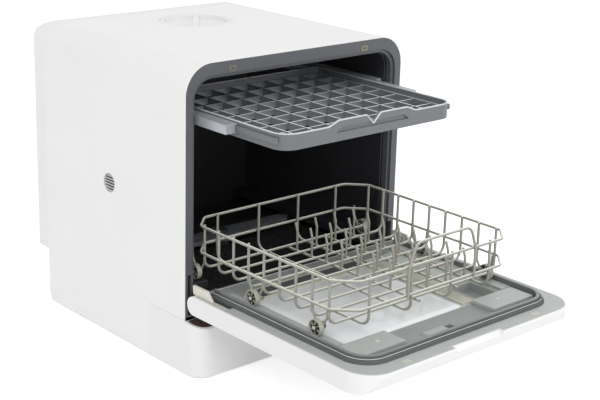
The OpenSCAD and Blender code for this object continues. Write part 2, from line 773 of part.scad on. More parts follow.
// Upright plates at the door's hinge edge; they enter pockets in the frame as it shuts
module hinge_cheeks() {
  z0 = door_zi;
  color([0.86, 0.85, 0.79]) both_sides() {
    along_x(cheek_x, cheek_x + cheek_t)
      polygon([[hinge_y + 12, z0], [hinge_y + 13.5, z0 + 13], [hinge_y - 17, z0 + 13], [hinge_y - 30, z0]]);
    along_x(cheek_x - 1, cheek_x + 1)
      polygon(arc_points(hinge_y - 7, z0, 10, 0, 180, 12));
  }
}

module door_catches() {
  y = hinge_y - (latch_z - hinge_z);
  color([0.66, 0.63, 0.55]) both_sides()
    block(latch_x - 7, latch_x + 7, y - 4.5, y + 4.5, door_zi, door_zi + 0.6);
}

// ---- upper tray ----
tray_hw = tray_w / 2;
tray_y0 = -tray_out;
tray_y1 = tray_y0 + tray_l;
tray_travel = tray_out + frame_d;
rail_z0 = tray_z - 16;
rail_z1 = tray_z - 2;
rail_l = 285;
tray_wall = 3;
tray_front = 5;

module tray_frame() {
  color([0.50, 0.52, 0.54]) union() {
    difference() {
      union() {
        translate([0, 0, tray_z - tray_h]) linear_extrude(tray_h)
          panel(-tray_hw, tray_y0, tray_hw, tray_y1, 8, 24);
        // raised middle of the front wall
        along_y(tray_y0, tray_y0 + tray_front)
          polygon([[-84, tray_z - 2], [-66, tray_z + 7], [66, tray_z + 7], [84, tray_z - 2]]);
      }
      translate([0, 0, tray_z - tray_h + 4]) linear_extrude(tray_h + 9)
        panel(-tray_hw + tray_wall, tray_y0 + tray_front, tray_hw - tray_wall, tray_y1 - tray_wall, 5, 20);
      translate([0, 0, tray_z - tray_h - 1]) linear_extrude(tray_h + 9)
        panel(-tray_hw + 9, tray_y0 + 11, tray_hw - 9, tray_y1 - 9, 4, 15);
      along_y(tray_y0 - 1, tray_y0 + 11)
        polygon([[-14, tray_z + 8], [0, tray_z - 7], [14, tray_z + 8]]);
      along_y(tray_y0 - 1, tray_y0 + 3)
        polygon([[-70, tray_z - 10], [-60, tray_z - 3], [60, tray_z - 3], [70, tray_z - 10]]);
    }
    // runners on the tray's sides
    both_sides() block(tray_hw - eps, tray_hw + 4, tray_y0 + 12, tray_y0 + 12 + rail_l, rail_z0 + 3, rail_z1 - 3);
  }
}

// Drop-in grid of deep thin ribs, lying on the tray's ledge
module tray_grid() {
  z0 = tray_z - tray_h + 4;
  t = 1.1;
  slip = 0.1;
  x = tray_hw - tray_wall - seat;
  y0 = tray_y0 + tray_front + seat;
  y1 = tray_y1 - tray_wall - seat;
  step = 2 * (x - t) / tray_cells;
  rows = round((y1 - y0) / step);
  // long ribs, and short ribs butted between them
  color([0.58, 0.60, 0.62]) intersection() {
    for (i = [0:tray_cells]) {
      rib = -x + t + i * step;
      block(rib - t, rib + t, y0, y1, z0, z0 + 10);
      if (i < tray_cells) for (j = [0:rows])
        translate([rib + t + slip, y0 + j * (y1 - y0 - 2 * t) / rows, z0]) cube([step - 2 * (t + slip), 2 * t, 9]);
    }
    translate([0, 0, z0 - 1]) linear_extrude(12) panel(-x, y0, x, y1, 4.7, 19.7);
  }
}

rail_gap = 0.3;
module tray_fixed_rails() {
  color([0.70, 0.71, 0.72]) both_sides() difference() {
    block(tub_hw - 9, tub_hw, frame_d + 6, frame_d + 6 + rail_l + 30, rail_z0 - 3, rail_z1 + 3);
    block(tub_hw - 10, tub_hw - 2, frame_d, frame_d + 60 + rail_l, rail_z0, rail_z1);
  }
}

module tray_middle_rails() {
  x1 = tub_hw - 2 - rail_gap;
  x0 = tray_hw + rail_gap;
  y0 = frame_d + 12 - tray_travel / 2;
  color([0.62, 0.63, 0.64]) both_sides() difference() {
    block(x0, x1, y0, y0 + rail_l, rail_z0 + rail_gap, rail_z1 - rail_gap);
    block(x0 - 1, tray_hw + 4 + rail_gap, y0 - 1, y0 + rail_l + 1, rail_z0 + 3 - rail_gap, rail_z1 - 3 + rail_gap);
  }
}

// ---- lower rack ----
corner_cut = 28;

// Closed wire rail at height z with its corners cut off at 45 degrees
module wire_rail(x, y0, y1, z) {
  r = corner_cut;
  rod_x(-x + r, x - r, y0, z, wr);
  rod_x(-x + r, x - r, y1, z, wr);
  for (side = [-1, 1]) {
    rod_y(side * x, y0 + r, y1 - r, z, wr);
    translate([side * (x - r), y1 - r, z]) bend(r, wr, side > 0 ? 0 : 90);
    translate([side * (x - r), y0 + r, z]) bend(r, wr, side > 0 ? 270 : 180);
  }
}

module rack_rails() {
  color(wire_grey) {
    wire_rail(rack_hw, rack_front, rack_back, rack_top_z);
    wire_rail(rack_hw, rack_front, rack_back, rack_mid_z);
  }
}

// One U of wire across the rack, inside the rails
module cross_wire(y) {
  x = rack_hw - wire_d;
  r = 14;
  for (side = [-1, 1]) {
    rod_z(side * x, y, rack_low_z + r, rack_top_z + wr, wr);
    translate([side * (x - r), y, rack_low_z + r]) rotate([90, 0, 0]) bend(r, wr, side > 0 ? 270 : 180);
  }
  rod_x(-x + r, x - r, y, rack_low_z, wr);
}

cross_y0 = rack_front + corner_cut + 4;
cross_step = (rack_l - 2 * (corner_cut + 4)) / (cross_count - 1);
module rack_cross_wires() {
  color(wire_grey) for (i = [0:cross_count - 1]) cross_wire(cross_y0 + i * cross_step);
}

// U wires from front to back, under the cross wires
long_pitch = (rack_w - 2 * corner_cut - 43) / 3;
long_xs = [for (i = [0:3]) (i - 1.5) * long_pitch];
rod_z0 = rack_low_z - wire_d;
module rack_long_wires() {
  r = 14;
  y0 = rack_front + wire_d;
  y1 = rack_back - wire_d;
  color(wire_grey) for (x = long_xs) {
    rod_z(x, y0, rod_z0 + r, rack_top_z + wr, wr);
    rod_z(x, y1, rod_z0 + r, rack_top_z + wr, wr);
    rod_y(x, y0 + r, y1 - r, rod_z0, wr);
    translate([x, y0 + r, rod_z0 + r]) rotate([90, 0, 90]) bend(r, wr, 180);
    translate([x, y1 - r, rod_z0 + r]) rotate([90, 0, 90]) bend(r, wr, 270);
  }
  // straight rods under the other two rows of tines
  color(wire_grey) for (k = [0, 2])
    rod_y(tine_xs[k], cross_y0 - 8, cross_y0 + 8 + (cross_count - 1) * cross_step, rod_z0, wr);
}

// Tines stand in four rows, on the right-hand long wires and on two rods between them
tine_h = 44;
tine_xs = [for (i = [0:3]) i * long_pitch / 2];
module rack_tines() {
  color(wire_grey) for (x = tine_xs, i = [0:cross_count - 2]) {
    y = cross_y0 + (i + 0.5) * cross_step;
    rod_z(x, y, rod_z0 + wr, rod_z0 + tine_h, wr * 0.9);
    translate([x, y, rod_z0 + tine_h]) sphere(r = wr * 1.3, $fn = 16);
  }
}

// Front handle: an arch of wire that rises over the front of the rack
module rack_handle() {
  y = rack_front - wire_d;
  r = 18;
  x = 66;
  top = rack_top_z + 34;
  color(wire_grey) translate([12, 0, 0]) {
    for (side = [-1, 1]) {
      rod_z(side * x, y, rack_mid_z - wr, top - r, wr);
      translate([side * (x - r), y, top - r]) rotate([90, 0, 0]) bend(r, wr, side > 0 ? 0 : 90);
    }
    rod_x(-x + r, x - r, y, top, wr);
  }
}

// Brackets under the middle rail with a stub axle each
module rack_axles() {
  color([0.62, 0.62, 0.56]) both_sides() for (y = wheel_ys) {
    x1 = wheel_x - wheel_w / 2 - seat;
    along_x(x1 - 3, x1) polygon(concat(
      arc_points(y, wheel_z, 7, 200, 340, 8), [[y + 5, rack_mid_z - wr], [y - 5, rack_mid_z - wr]]));
    block(x1 - 3, rack_hw + 1, y - 5, y + 5, rack_mid_z - wr - 3, rack_mid_z - wr);
    rod_x(wheel_x + wheel_w / 2 + seat, wheel_x + wheel_w / 2 + 1.5, y, wheel_z, axle_d / 2 + 1.2);
    rod_x(x1 - (y == front_wheel_y ? 9 : 4), wheel_x + wheel_w / 2 + 1, y, wheel_z, axle_d / 2);
  }
}

// Sleeves on the front stub axles, where the rack hangs on its link to the door
module rack_sleeves() {
  x1 = wheel_x - wheel_w / 2 - seat - 3 - seat;
  color([0.30, 0.30, 0.32]) both_sides() difference() {
    rod_x(x1 - 5, x1, front_wheel_y, wheel_z, axle_d / 2 + 2.5);
    rod_x(x1 - 6, x1 + 1, front_wheel_y, wheel_z, axle_d / 2 + run_gap);
  }
}

module rack_wheel(side, y) {
  color([0.68, 0.68, 0.62]) translate([side * wheel_x - wheel_w / 2, y, wheel_z]) rotate([0, 90, 0]) difference() {
    union() {
      difference() {
        cylinder(r = wheel_d / 2, h = wheel_w);
        translate([0, 0, -1]) cylinder(r = wheel_d / 2 - 2.6, h = wheel_w + 2);
      }
      cylinder(r = axle_d / 2 + 2, h = wheel_w);
      for (a = [0:72:288]) rotate([0, 0, a])
        block(axle_d / 2 + 1, wheel_d / 2 - 2, -1.1, 1.1, 1, wheel_w - 1);
      translate([0, 0, wheel_w / 2 - 0.8]) cylinder(r = wheel_d / 2 - 2, h = 1.6);
    }
    translate([0, 0, -1]) cylinder(r = axle_d / 2 + run_gap, h = wheel_w + 2);
  }
}

module wheel_left_front() { rack_wheel(-1, wheel_ys[0]); }
module wheel_left_middle() { rack_wheel(-1, wheel_ys[1]); }
module wheel_left_rear() { rack_wheel(-1, wheel_ys[2]); }
module wheel_right_front() { rack_wheel(1, wheel_ys[0]); }
module wheel_right_middle() { rack_wheel(1, wheel_ys[1]); }
module wheel_right_rear() { rack_wheel(1, wheel_ys[2]); }

outer_shell();
rear_panel();
rear_cover();
cover_screws();
plinth();
base_pan();
feet();
control_strip();
control_board();
front_frame();
latch_plates();
wash_tub();
tub_back();
tub_bottom();
wheel_tracks();
filter_plate();
sump();
filter_cup();
spray_post();
spray_arm();
vent_grille();
drying_fan();
fill_port();
fill_cap();
water_tank();
circulation_pump();
drain_pump();
water_heater();
supply_pipe();
inlet_spigot();
drain_spigot();
cord_inlet();
hinge_brackets();
hinge_pins();
door_shell();
door_liner();
door_rim();
door_tracks();
door_gasket();
door_window();
detergent_cup();
hinge_cheeks();
door_catches();
tray_frame();
tray_grid();
tray_fixed_rails();
tray_middle_rails();
rack_rails();
rack_cross_wires();
rack_long_wires();
rack_tines();
rack_handle();
rack_axles();
rack_sleeves();
wheel_left_front();
wheel_left_middle();
wheel_left_rear();
wheel_right_front();
wheel_right_middle();
wheel_right_rear();
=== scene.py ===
# Countertop dishwasher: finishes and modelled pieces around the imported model, in metres
import json
import math
import bmesh
import bpy
from mathutils import Matrix, Vector

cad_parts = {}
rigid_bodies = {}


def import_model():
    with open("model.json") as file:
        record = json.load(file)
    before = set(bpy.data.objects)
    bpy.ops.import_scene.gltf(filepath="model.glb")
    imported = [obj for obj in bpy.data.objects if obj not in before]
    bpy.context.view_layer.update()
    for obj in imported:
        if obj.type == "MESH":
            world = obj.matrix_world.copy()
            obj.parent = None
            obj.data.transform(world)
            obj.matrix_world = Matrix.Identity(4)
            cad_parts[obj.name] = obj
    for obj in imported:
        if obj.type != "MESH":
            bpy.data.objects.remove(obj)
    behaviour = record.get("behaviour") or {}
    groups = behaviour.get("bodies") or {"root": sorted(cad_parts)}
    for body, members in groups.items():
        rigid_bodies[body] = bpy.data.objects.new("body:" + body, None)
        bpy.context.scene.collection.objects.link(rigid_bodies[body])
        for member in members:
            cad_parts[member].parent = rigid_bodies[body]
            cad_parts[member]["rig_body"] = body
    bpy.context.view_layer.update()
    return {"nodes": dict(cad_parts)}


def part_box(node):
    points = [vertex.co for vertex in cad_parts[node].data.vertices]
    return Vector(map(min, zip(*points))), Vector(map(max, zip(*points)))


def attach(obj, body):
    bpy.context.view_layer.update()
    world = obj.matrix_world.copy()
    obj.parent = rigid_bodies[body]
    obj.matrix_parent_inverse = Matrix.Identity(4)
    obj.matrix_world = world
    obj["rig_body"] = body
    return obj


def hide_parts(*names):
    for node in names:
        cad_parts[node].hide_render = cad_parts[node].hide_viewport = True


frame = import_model()
nodes = frame["nodes"]
mm = 0.001
print("frame loaded:", len(nodes), "nodes")


# camera, matched to the photograph
cameraSettings = {
    "place": (-1.2899, -1.4395, 0.8407),
    "turn": -42.11,
    "tilt": 73.53,
    "roll": 1.64,
    "lens": 81.07,
    "shift": (-0.006, -0.046),
    "far": 60,
}


def addCamera(s):
    data = bpy.data.cameras.new("photoCamera")
    data.lens = s["lens"]
    data.shift_x, data.shift_y = s["shift"]
    data.clip_end = s["far"]
    camera = bpy.data.objects.new("photoCamera", data)
    bpy.context.scene.collection.objects.link(camera)
    turn = Matrix.Rotation(math.radians(s["turn"]), 4, "Z")
    tilt = Matrix.Rotation(math.radians(s["tilt"]), 4, "X")
    roll = Matrix.Rotation(math.radians(s["roll"]), 4, "Z")
    camera.matrix_world = Matrix.Translation(s["place"]) @ turn @ tilt @ roll
    bpy.context.scene.camera = camera


# studio: pale floor, white surroundings and three soft lamps
studioSettings = {
    "ambient": 0.74,
    "floorSize": 24,
    "floorColour": (0.94, 0.94, 0.94),
    "floorRough": 0.9,
    "floorLift": 0.5,
    "aim": (0, -0.1, 0.2),
    "lamps": [
        {"name": "keyLamp", "place": (-2.1, -2.3, 3.4), "size": 2.4, "power": 58},
        {"name": "fillLamp", "place": (2.4, -3.2, 1.5), "size": 2.2, "power": 22},
        {"name": "lowLamp", "place": (-0.7, -3.1, 0.26), "size": 0.5, "power": 5},
    ],
}


def addStudio(s):
    world = bpy.data.worlds.new("studio")
    world.use_nodes = True
    bpy.context.scene.world = world
    tree = world.node_tree
    tree.nodes.clear()
    out = tree.nodes.new("ShaderNodeOutputWorld")
    mix = tree.nodes.new("ShaderNodeMixShader")
    soft = tree.nodes.new("ShaderNodeBackground")
    soft.inputs["Color"].default_value = (1, 1, 1, 1)
    soft.inputs["Strength"].default_value = s["ambient"]
    white = tree.nodes.new("ShaderNodeBackground")
    white.inputs["Color"].default_value = (1, 1, 1, 1)
    white.inputs["Strength"].default_value = 1.0
    tree.links.new(seenRays(tree), mix.inputs[0])
    tree.links.new(soft.outputs[0], mix.inputs[1])
    tree.links.new(white.outputs[0], mix.inputs[2])
    tree.links.new(mix.outputs[0], out.inputs[0])

    floorMesh = bpy.data.meshes.new("studioFloor")
    h = s["floorSize"] / 2
    floorMesh.from_pydata([(-h, -h, 0), (h, -h, 0), (h, h, 0), (-h, h, 0)], [], [(0, 1, 2, 3)])
    floor = bpy.data.objects.new("studioFloor", floorMesh)
    bpy.context.scene.collection.objects.link(floor)
    floorMesh.materials.append(floorFinish(s))

    for lamp in s["lamps"]:
        light = bpy.data.lights.new(lamp["name"], "AREA")
        light.size = lamp["size"]
        light.energy = lamp["power"]
        holder = bpy.data.objects.new(lamp["name"], light)
        bpy.context.scene.collection.objects.link(holder)
        turn = (Vector(s["aim"]) - Vector(lamp["place"])).to_track_quat("-Z", "Y")
        holder.matrix_world = Matrix.Translation(lamp["place"]) @ turn.to_matrix().to_4x4()


# 1 where the camera, a reflection or glass looks at a surface
def seenRays(tree):
    path = tree.nodes.new("ShaderNodeLightPath")
    previous = path.outputs["Is Camera Ray"]
    for kind in ("Is Glossy Ray", "Is Transmission Ray"):
        top = tree.nodes.new("ShaderNodeMath")
        top.operation = "MAXIMUM"
        tree.links.new(previous, top.inputs[0])
        tree.links.new(path.outputs[kind], top.inputs[1])
        previous = top.outputs[0]
    return previous


def floorFinish(s):
    material = bpy.data.materials.new("studioFloor")
    material.use_nodes = True
    tree = material.node_tree
    shader = tree.nodes["Principled BSDF"]
    shader.inputs["Base Color"].default_value = (*s["floorColour"], 1)
    shader.inputs["Roughness"].default_value = s["floorRough"]
    shader.inputs["Specular IOR Level"].default_value = 0.0
    shader.inputs["Emission Color"].default_value = (1, 1, 1, 1)
    lift = tree.nodes.new("ShaderNodeMath")
    lift.operation = "MULTIPLY"
    lift.inputs[1].default_value = s["floorLift"]
    tree.links.new(seenRays(tree), lift.inputs[0])
    tree.links.new(lift.outputs[0], shader.inputs["Emission Strength"])
    return material


addCamera(cameraSettings)
addStudio(studioSettings)
print("camera and studio ready")


# finishes: colour and shade are screen values out of 255, and so is top, a painted highlight that faces
# that look up carry; patch, grain and depth are millimetres
finishes = {
    "whiteSteel": {"colour": (238, 238, 237), "shade": (233, 233, 233), "patch": 120, "rough": 0.34,
                   "grain": 0.9, "depth": 0.006, "coat": 0.25},
    "whitePlastic": {"colour": (238, 238, 237), "shade": (232, 232, 232), "patch": 60, "rough": 0.38,
                     "grain": 0.7, "depth": 0.01},
    "frameGrey": {"colour": (86, 89, 93), "shade": (80, 83, 87), "patch": 40, "rough": 0.46,
                  "grain": 0.6, "depth": 0.02},
    "linerGrey": {"colour": (172, 176, 173), "shade": (163, 167, 165), "patch": 45, "rough": 0.4,
                  "grain": 0.7, "depth": 0.015},
    "plateGrey": {"colour": (186, 190, 187), "shade": (179, 183, 181), "patch": 60, "rough": 0.36,
                  "grain": 0.7, "depth": 0.012},
    "stripBeige": {"colour": (206, 204, 186), "shade": (196, 194, 177), "patch": 30, "rough": 0.42,
                   "grain": 0.7, "depth": 0.012},
    "cheekBeige": {"colour": (226, 224, 212), "shade": (216, 214, 201), "patch": 25, "rough": 0.4,
                   "grain": 0.6, "depth": 0.012},
    "smokedStrip": {"colour": (84, 66, 66), "shade": (68, 53, 54), "patch": 60, "rough": 0.09,
                    "grain": 4, "depth": 0.002, "coat": 1.0},
    "tubBlack": {"colour": (52, 53, 56), "shade": (42, 43, 46), "patch": 90, "rough": 0.33,
                 "grain": 1.2, "depth": 0.012},
    "filterBlack": {"colour": (46, 47, 48), "shade": (28, 29, 30), "patch": 6, "rough": 0.45,
                    "grain": 1.6, "depth": 0.12},
    "darkPlastic": {"colour": (62, 63, 66), "shade": (52, 53, 56), "patch": 20, "rough": 0.5,
                    "grain": 0.6, "depth": 0.02},
    "gasketGrey": {"colour": (92, 97, 97), "shade": (80, 85, 85), "patch": 12, "rough": 0.62,
                   "grain": 0.35, "depth": 0.02},
    "rubberBlack": {"colour": (44, 44, 44), "shade": (34, 34, 34), "patch": 8, "rough": 0.75,
                    "grain": 0.35, "depth": 0.04},
    "windowPale": {"colour": (250, 252, 254), "shade": (243, 247, 249), "patch": 90, "rough": 0.22,
                   "grain": 2.5, "depth": 0.006, "coat": 0.4},
    "latchSteel": {"colour": (128, 124, 114), "shade": (104, 101, 93), "patch": 4, "rough": 0.34,
                   "grain": 0.25, "depth": 0.01, "metal": 1.0, "brushed": (1, 1, 18)},
    "brushedSteel": {"colour": (188, 188, 190), "shade": (168, 168, 170), "patch": 10, "rough": 0.32,
                     "grain": 0.3, "depth": 0.012, "metal": 1.0, "brushed": (14, 1, 1)},
    # wire coat: colour is darkened as painted shade for the wire sides, and top is a painted highlight
    "wireCoat": {"colour": (160, 160, 149), "shade": (148, 148, 138), "patch": 14, "rough": 0.36,
                 "grain": 1.1, "depth": 0.03, "coat": 0.15, "top": (246, 246, 236)},
    "wheelGrey": {"colour": (178, 179, 166), "shade": (166, 167, 154), "patch": 6, "rough": 0.44,
                  "grain": 0.5, "depth": 0.02},
    "wheelDark": {"colour": (46, 47, 45), "shade": (34, 35, 34), "patch": 4, "rough": 0.5,
                  "grain": 0.5, "depth": 0.02},
    "trayGrey": {"colour": (112, 115, 119), "shade": (104, 107, 111), "patch": 40, "rough": 0.4,
                 "grain": 0.7, "depth": 0.015},
    # tray grid: top is a painted highlight on the rib tops
    "gridGrey": {"colour": (112, 116, 121), "shade": (104, 108, 113), "patch": 20, "rough": 0.4,
                 "grain": 0.7, "depth": 0.015, "top": (246, 248, 249)},
    "ventGrey": {"colour": (196, 197, 198), "shade": (184, 186, 187), "patch": 8, "rough": 0.42,
                 "grain": 0.5, "depth": 0.015},
    # dark disc behind the vent slats: painted shade inside the vent
    "ventPaintedShade": {"colour": (38, 38, 40), "shade": (22, 22, 24), "patch": 3, "rough": 0.7,
                   "grain": 0.8, "depth": 0.1},
    "panGrey": {"colour": (160, 165, 163), "shade": (148, 153, 151), "patch": 40, "rough": 0.36,
                "grain": 0.7, "depth": 0.012},
    "panPale": {"colour": (200, 208, 198), "shade": (190, 198, 188), "patch": 40, "rough": 0.34,
                "grain": 0.7, "depth": 0.012},
    "pocketDark": {"colour": (88, 93, 95), "shade": (78, 83, 85), "patch": 20, "rough": 0.5,
                   "grain": 0.6, "depth": 0.02},
    "stripPale": {"colour": (222, 222, 206), "shade": (212, 212, 196), "patch": 20, "rough": 0.36,
                  "grain": 0.5, "depth": 0.012},
    # pale colour of the tray bead: painted highlight
    "beadGrey": {"colour": (206, 208, 209), "shade": (196, 198, 199), "patch": 30, "rough": 0.32,
                 "grain": 0.8, "depth": 0.01, "coat": 0.3},
    # door rim: top is a painted highlight along the rim's edge
    "rimGrey": {"colour": (116, 120, 118), "shade": (106, 110, 108), "patch": 45, "rough": 0.38,
                "grain": 0.7, "depth": 0.012, "top": (140, 144, 142)},
    "catchPale": {"colour": (206, 206, 196), "shade": (196, 196, 186), "patch": 6, "rough": 0.34,
                  "grain": 0.4, "depth": 0.01},
    # a painted highlight line along the door seal's top
    "sealPaintedGlint": {"colour": (214, 216, 214), "shade": (196, 198, 196), "patch": 12, "rough": 0.3,
                 "grain": 0.35, "depth": 0.01},
    "railGrey": {"colour": (182, 186, 191), "shade": (170, 174, 179), "patch": 18, "rough": 0.34,
                 "grain": 0.3, "depth": 0.01, "metal": 0.3, "brushed": (1, 16, 1)},
    "tankMilky": {"colour": (214, 221, 226), "shade": (204, 212, 218), "patch": 30, "rough": 0.35,
                  "grain": 1.5, "depth": 0.02, "clear": 0.45},
    "boardGreen": {"colour": (34, 110, 62), "shade": (24, 88, 48), "patch": 3, "rough": 0.4,
                   "grain": 0.8, "depth": 0.03},
    "pumpGrey": {"colour": (140, 142, 146), "shade": (128, 130, 134), "patch": 14, "rough": 0.42,
                 "grain": 0.6, "depth": 0.02},
}


# shared by all finishes
finishSettings = {
    "coatRough": 0.12,
    "dull": 1.18,  # times rough, at the ends of the drift in gloss
    "glossy": 0.84,
    "patchDetail": 4,
    "grainDetail": 2,
    "topFrom": 0.6,  # upward part of a face's normal where the painted top highlight starts, and where it is full
    "topTo": 0.9,
}


def linear(screen):
    return tuple(((c / 255 + 0.055) / 1.055) ** 2.4 if c > 10 else c / 255 / 12.92 for c in screen) + (1,)


# faces that look up carry a paler colour: a painted highlight for the light that falls on tops
def paintedTopLight(tree, surface, colour, common):
    up = tree.nodes.new("ShaderNodeSeparateXYZ")
    tree.links.new(tree.nodes.new("ShaderNodeNewGeometry").outputs["True Normal"], up.inputs[0])
    step = tree.nodes.new("ShaderNodeMapRange")
    step.inputs["From Min"].default_value = common["topFrom"]
    step.inputs["From Max"].default_value = common["topTo"]
    tree.links.new(up.outputs["Z"], step.inputs["Value"])
    blend = tree.nodes.new("ShaderNodeMix")
    blend.data_type = "RGBA"
    blend.inputs["B"].default_value = colour
    tree.links.new(surface, blend.inputs["A"])
    tree.links.new(step.outputs["Result"], blend.inputs["Factor"])
    return blend.outputs["Result"]


def makeFinish(name, s, common):
    material = bpy.data.materials.new(name)
    material.use_nodes = True
    tree = material.node_tree
    shader = tree.nodes["Principled BSDF"]
    shader.inputs["Metallic"].default_value = s.get("metal", 0)
    shader.inputs["Coat Weight"].default_value = s.get("coat", 0)
    shader.inputs["Coat Roughness"].default_value = common["coatRough"]
    shader.inputs["Transmission Weight"].default_value = s.get("clear", 0)
    place = tree.nodes.new("ShaderNodeTexCoord").outputs["Object"]
    if "brushed" in s:
        stretch = tree.nodes.new("ShaderNodeMapping")
        stretch.inputs["Scale"].default_value = s["brushed"]
        tree.links.new(place, stretch.inputs["Vector"])
        place = stretch.outputs[0]

    # slow drift of colour and gloss over the surface
    patch = tree.nodes.new("ShaderNodeTexNoise")
    patch.inputs["Scale"].default_value = 1 / (s["patch"] * mm)
    patch.inputs["Detail"].default_value = common["patchDetail"]
    tree.links.new(place, patch.inputs["Vector"])
    tint = tree.nodes.new("ShaderNodeMix")
    tint.data_type = "RGBA"
    tint.inputs["A"].default_value = linear(s["shade"])
    tint.inputs["B"].default_value = linear(s["colour"])
    tree.links.new(patch.outputs["Fac"], tint.inputs["Factor"])
    surface = tint.outputs["Result"]
    # painted highlight on faces that look up
    if "top" in s:
        surface = paintedTopLight(tree, surface, linear(s["top"]), common)
    tree.links.new(surface, shader.inputs["Base Color"])
    gloss = tree.nodes.new("ShaderNodeMapRange")
    gloss.inputs["To Min"].default_value = s["rough"] * common["dull"]
    gloss.inputs["To Max"].default_value = s["rough"] * common["glossy"]
    tree.links.new(patch.outputs["Fac"], gloss.inputs["Value"])
    tree.links.new(gloss.outputs["Result"], shader.inputs["Roughness"])

    # moulding grain or paint texture
    grain = tree.nodes.new("ShaderNodeTexNoise")
    grain.inputs["Scale"].default_value = 1 / (s["grain"] * mm)
    grain.inputs["Detail"].default_value = common["grainDetail"]
    tree.links.new(place, grain.inputs["Vector"])
    bump = tree.nodes.new("ShaderNodeBump")
    bump.inputs["Strength"].default_value = 1.0
    bump.inputs["Distance"].default_value = s["depth"] * mm
    tree.links.new(grain.outputs["Fac"], bump.inputs["Height"])
    tree.links.new(bump.outputs["Normal"], shader.inputs["Normal"])
    return material


made = {name: makeFinish(name, s, finishSettings) for name, s in finishes.items()}
print("finishes made:", len(made))


# shared by all meshes: lengths in metres, angles in degrees
meshSettings = {
    "weld": 0.00001,
    "flat": 0.6,
    "sharp": 32,
    "solidSharp": 40,
    "wireSharp": 50,
    "wireSteps": 5,
    "bevelSteps": 2,
    "bevelAngle": 32,
    "keptFaces": ("rear_cover", "front_frame"),  # flat faces with many cuts stay as packed
}


def addPiece(name, mesh, finish, node):
    piece = bpy.data.objects.new(name, mesh)
    bpy.context.scene.collection.objects.link(piece)
    for f in [finish] if isinstance(finish, str) else finish:
        mesh.materials.append(made[f])
    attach(piece, nodes[node]["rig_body"])
    return piece


def smoothFaces(mesh, angle):
    mesh.polygons.foreach_set("use_smooth", [True] * len(mesh.polygons))
    mesh.set_sharp_from_angle(angle=math.radians(angle))


def softenEdges(piece, edge, s=meshSettings):
    bevel = piece.modifiers.new("softEdges", "BEVEL")
    bevel.width = edge * mm
    bevel.segments = s["bevelSteps"]
    bevel.limit_method = "ANGLE"
    bevel.angle_limit = math.radians(s["bevelAngle"])
    bevel.miter_outer = "MITER_ARC"
    bevel.use_clamp_overlap = True
    even = piece.modifiers.new("evenShading", "WEIGHTED_NORMAL")
    even.keep_sharp = True


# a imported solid's mesh with its flat faces joined
def joinedFaces(node, s=meshSettings):
    bm = bmesh.new()
    bm.from_mesh(nodes[node].data)
    bmesh.ops.remove_doubles(bm, verts=bm.verts, dist=s["weld"])
    if node not in s["keptFaces"]:
        bmesh.ops.dissolve_limit(bm, angle_limit=math.radians(s["flat"]), verts=bm.verts, edges=bm.edges)
    return bm


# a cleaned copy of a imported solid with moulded, softened edges
def dressSolid(node, bm, name, finish, edge):
    mesh = bpy.data.meshes.new(name)
    bm.to_mesh(mesh)
    bm.free()
    smoothFaces(mesh, meshSettings["solidSharp"])
    piece = addPiece(name, mesh, finish, node)
    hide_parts(node)
    softenEdges(piece, edge)


# fillets the corners of a line of points
def rounded(points, radius, closed=False, steps=6):
    pts = [Vector(p) for p in points]
    n = len(pts)
    line = []
    for i, p in enumerate(pts):
        if not closed and i in (0, n - 1):
            line.append(p)
            continue
        a, b = pts[i - 1] - p, pts[(i + 1) % n] - p
        turn = a.angle(b)
        r = radius[i] if isinstance(radius, (list, tuple)) else radius
        if r <= 0 or turn > math.pi - 0.01:  # a sharp or a nearly straight corner stays
            line.append(p)
            continue
        back = r / math.tan(turn / 2)
        p0, p1 = p + a.normalized() * back, p + b.normalized() * back
        centre = p + (a.normalized() + b.normalized()).normalized() * (r / math.sin(turn / 2))
        u, v = p0 - centre, p1 - centre
        sweepAngle = u.angle(v)
        for k in range(steps + 1):
            t = k / steps
            arc = u * math.sin((1 - t) * sweepAngle) + v * math.sin(t * sweepAngle)
            line.append(centre + arc / math.sin(sweepAngle))
    return line


# round wire along one or more lines, in millimetres
def bendWire(name, lines, radius, finish, node, whole=True):
    curve = bpy.data.curves.new(name, "CURVE")
    curve.dimensions = "3D"
    curve.bevel_depth = radius * mm
    curve.bevel_resolution = meshSettings["wireSteps"]
    curve.use_fill_caps = True
    for points, closed in lines:
        spline = curve.splines.new("POLY")
        spline.points.add(len(points) - 1)
        for q, p in zip(spline.points, points):
            q.co = (*(Vector(p) * mm), 1)
        spline.use_cyclic_u = closed
    holder = bpy.data.objects.new(name, curve)
    bpy.context.scene.collection.objects.link(holder)
    bpy.context.view_layer.update()
    mesh = bpy.data.meshes.new_from_object(holder.evaluated_get(bpy.context.evaluated_depsgraph_get()))
    bpy.data.objects.remove(holder)
    mesh.name = name
    mesh.materials.clear()
    smoothFaces(mesh, meshSettings["wireSharp"])
    piece = addPiece(name, mesh, finish, node)
    if whole:
        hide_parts(node)


# a section of (outwards, up) points swept along a line that lies flat, in millimetres
def sweepSection(bm, line, section, marked):
    rings = []
    for i, p in enumerate(line):
        before = line[i - 1] if i else p
        after = line[i + 1] if i < len(line) - 1 else p
        along = (after - before).normalized()
        out = Vector((along.y, -along.x, 0))
        rings.append([bm.verts.new((p + out * u + Vector((0, 0, w))) * mm) for u, w in section])
    m = len(section)
    for a, b in zip(rings, rings[1:]):
        for k in range(m):
            face = bm.faces.new((a[k], b[k], b[(k + 1) % m], a[(k + 1) % m]))
            face.material_index = 1 if k in marked else 0
    bm.faces.new(rings[0])
    bm.faces.new(list(reversed(rings[-1])))


